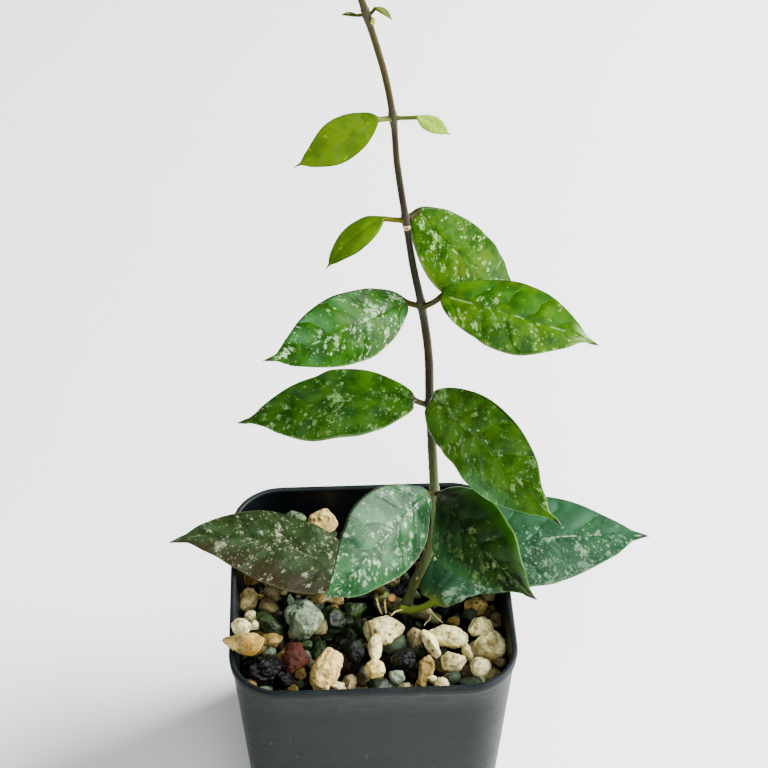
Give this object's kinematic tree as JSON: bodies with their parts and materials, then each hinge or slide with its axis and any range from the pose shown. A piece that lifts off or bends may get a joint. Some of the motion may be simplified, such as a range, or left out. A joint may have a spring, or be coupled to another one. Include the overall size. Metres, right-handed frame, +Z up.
{
  "type": "potted hoya plant",
  "caption": "Young climbing hoya with waxy, silver-flecked leaves in opposite pairs, rooted in a square nursery pot of coarse pumice and lava grit.",
  "frame": {"origin": "centre of the pot's underside, which rests on the surface", "axes": "+Z up along the vine, -Y towards the side that the leaves face, +X to that side's right"},
  "size_m": [0.1276, 0.0826, 0.2632],
  "materials": {
    "pot_plastic": "dark slate grey moulded plastic, satin, faintly scuffed",
    "grit": "loose mixed horticultural grit, rough",
    "stem_bark": "smooth green-brown young bark",
    "cutting_bark": "damp mossy bark",
    "root": "dry fibrous root",
    "bract": "dry papery stub",
    "leaf_mature": "waxy, glossy, with silver flecks",
    "leaf_young": "waxy, glossy, yellow-green",
    "bud": "soft, satin",
    "pumice": "cream, dry, pitted",
    "pumice_tan": "tan, dry, pitted",
    "zeolite": "sage green, matte",
    "zeolite_dark": "dark green, damp",
    "lava_black": "black, vesicular, slightly glassy",
    "lava_red": "dark red, vesicular, rough",
    "gravel": "brown, matte"
  },
  "bodies": {
    "root": {"pot": "pot_plastic", "grit_bed": "grit", "vine_stem": "stem_bark", "cutting_stem": "cutting_bark", "aerial_root_1": "root", "aerial_root_2": "root", "aerial_root_3": "root", "old_petiole_stub": "bract", "leaf_cutting_left": "leaf_mature", "leaf_cutting_right": "leaf_mature", "leaf_1_left": "leaf_mature", "leaf_1_right": "leaf_mature", "leaf_2_left": "leaf_mature", "leaf_2_right": "leaf_mature", "leaf_3_left": "leaf_mature", "leaf_3_right": "leaf_mature", "leaf_4_right": "leaf_mature", "leaf_4_left": "leaf_young", "leaf_5_left": "leaf_young", "leaf_5_right": "leaf_young", "leaf_6_left": "leaf_young", "leaf_6_right": "leaf_young", "axillary_bud": "bud", "growing_tip": "bud", "pumice_01": "pumice", "pumice_02": "pumice", "pumice_03": "pumice", "pumice_04": "pumice", "pumice_05": "pumice", "pumice_06": "pumice", "pumice_07": "pumice", "pumice_08": "pumice", "pumice_09": "pumice", "pumice_10": "pumice", "pumice_11": "pumice", "pumice_12": "pumice", "pumice_13": "pumice", "pumice_tan_01": "pumice_tan", "pumice_tan_02": "pumice_tan", "pumice_tan_03": "pumice_tan", "pumice_tan_04": "pumice_tan", "pumice_tan_05": "pumice_tan", "zeolite_01": "zeolite", "zeolite_02": "zeolite", "zeolite_dark_01": "zeolite_dark", "zeolite_dark_02": "zeolite_dark", "zeolite_dark_03": "zeolite_dark", "lava_black_01": "lava_black", "lava_black_02": "lava_black", "lava_black_03": "lava_black", "lava_black_04": "lava_black", "lava_red_01": "lava_red", "gravel_01": "gravel", "gravel_02": "gravel", "gravel_03": "gravel", "gravel_04": "gravel", "gravel_05": "gravel", "gravel_06": "gravel"}
  },
  "joints": []
}
